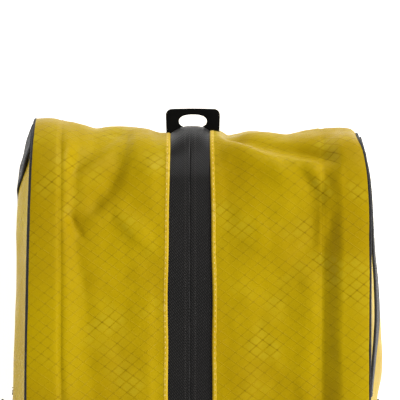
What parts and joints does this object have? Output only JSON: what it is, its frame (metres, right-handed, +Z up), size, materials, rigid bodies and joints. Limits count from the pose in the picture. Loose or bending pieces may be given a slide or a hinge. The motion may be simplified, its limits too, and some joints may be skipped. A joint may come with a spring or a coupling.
{
  "type": "duffel bag",
  "caption": "Soft boxy duffel bag in ripstop fabric with a coated zipper along the top, piped sides, carry handles, side loops and stiff lash tabs.",
  "frame": {"origin": "centre of the base, on the surface that the bag stands on", "axes": "+Z up, +Y along the zipper towards the front end, +X towards the right side panel"},
  "size_m": [0.2702, 0.533, 0.25],
  "materials": {
    "ripstop_fabric": "satin",
    "base_fabric": "satin",
    "piping_tape": "satin",
    "webbing": "matte",
    "handle_wrap": "matte",
    "coated_zipper_tape": "satin",
    "zipper_coil": "satin",
    "zipper_metal": "satin",
    "grip_rubber": "matte",
    "stiff_tab": "satin",
    "foam": "matte",
    "board": "matte"
  },
  "bodies": {
    "root": {"side_panel_left": "ripstop_fabric", "piping_left": "piping_tape", "edge_band_left": "ripstop_fabric", "edge_foam_left": "foam", "handle_webs_left": "webbing", "loop_anchors_left": "webbing", "top_end_left_front": "ripstop_fabric", "top_end_left_rear": "ripstop_fabric", "side_panel_right": "ripstop_fabric", "piping_right": "piping_tape", "edge_band_right": "ripstop_fabric", "edge_foam_right": "foam", "handle_webs_right": "webbing", "loop_anchors_right": "webbing", "top_end_right_front": "ripstop_fabric", "top_end_right_rear": "ripstop_fabric", "end_panel_front": "ripstop_fabric", "zip_end_front": "coated_zipper_tape", "coil_end_front": "zipper_coil", "zip_stop_front": "zipper_metal", "tab_root_front": "stiff_tab", "end_panel_rear": "ripstop_fabric", "zip_end_rear": "coated_zipper_tape", "coil_end_rear": "zipper_coil", "zip_stop_rear": "zipper_metal", "tab_root_rear": "stiff_tab", "base_panel": "base_fabric", "base_board": "board"},
    "flap_left": {"top_flap_left": "ripstop_fabric", "zip_tape_left": "coated_zipper_tape", "zip_coil_left": "zipper_coil"},
    "handle_left": {"handle_left": "webbing", "handle_wrap_left": "handle_wrap"},
    "loop_left_front": {"side_loop_left_front": "webbing"},
    "loop_left_rear": {"side_loop_left_rear": "webbing"},
    "flap_right": {"top_flap_right": "ripstop_fabric", "zip_tape_right": "coated_zipper_tape", "zip_coil_right": "zipper_coil"},
    "handle_right": {"handle_right": "webbing", "handle_wrap_right": "handle_wrap"},
    "loop_right_front": {"side_loop_right_front": "webbing"},
    "loop_right_rear": {"side_loop_right_rear": "webbing"},
    "slider": {"slider_body": "zipper_metal"},
    "puller": {"puller": "zipper_metal", "pull_grip": "grip_rubber"},
    "tab_front": {"lash_tab_front": "stiff_tab"},
    "tab_rear": {"lash_tab_rear": "stiff_tab"}
  },
  "joints": [
    {"name": "flap_left_fold", "type": "hinge", "parent": "root", "child": "flap_left", "pos_m": [-0.088, 0, 0.242], "axis": [0, -1, 0], "range_deg": [0, 70]},
    {"name": "handle_left_swing", "type": "hinge", "parent": "root", "child": "handle_left", "pos_m": [-0.1222, 0, 0.218], "axis": [0, 1, 0], "range_deg": [0, 180]},
    {"name": "loop_left_front_swing", "type": "hinge", "parent": "root", "child": "loop_left_front", "pos_m": [-0.124, 0.159, 0.204], "axis": [0, 1, 0], "range_deg": [0, 80]},
    {"name": "loop_left_rear_swing", "type": "hinge", "parent": "root", "child": "loop_left_rear", "pos_m": [-0.124, -0.159, 0.204], "axis": [0, 1, 0], "range_deg": [0, 80]},
    {"name": "flap_right_fold", "type": "hinge", "parent": "root", "child": "flap_right", "pos_m": [0.088, 0, 0.242], "axis": [0, 1, 0], "range_deg": [0, 70]},
    {"name": "handle_right_swing", "type": "hinge", "parent": "root", "child": "handle_right", "pos_m": [0.1222, 0, 0.218], "axis": [0, -1, 0], "range_deg": [0, 180]},
    {"name": "loop_right_front_swing", "type": "hinge", "parent": "root", "child": "loop_right_front", "pos_m": [0.122, 0.159, 0.234], "axis": [0, -1, 0], "range_deg": [0, 80]},
    {"name": "loop_right_rear_swing", "type": "hinge", "parent": "root", "child": "loop_right_rear", "pos_m": [0.122, -0.159, 0.234], "axis": [0, -1, 0], "range_deg": [0, 80]},
    {"name": "slider_travel", "type": "slide", "parent": "root", "child": "slider", "axis": [0, 1, 0], "range_m": [0, 0.414]},
    {"name": "puller_turn", "type": "hinge", "parent": "slider", "child": "puller", "pos_m": [0, -0.207, 0.2435], "axis": [1, 0, 0], "range_deg": [0, 165]},
    {"name": "tab_front_flex", "type": "hinge", "parent": "root", "child": "tab_front", "pos_m": [0, 0.2519, 0.205], "axis": [1, 0, 0], "range_deg": [-50, 25], "stiffness_Nm_per_rad": 0.01},
    {"name": "tab_rear_flex", "type": "hinge", "parent": "root", "child": "tab_rear", "pos_m": [0, -0.2519, 0.205], "axis": [-1, 0, 0], "range_deg": [-50, 25], "stiffness_Nm_per_rad": 0.01}
  ]
}
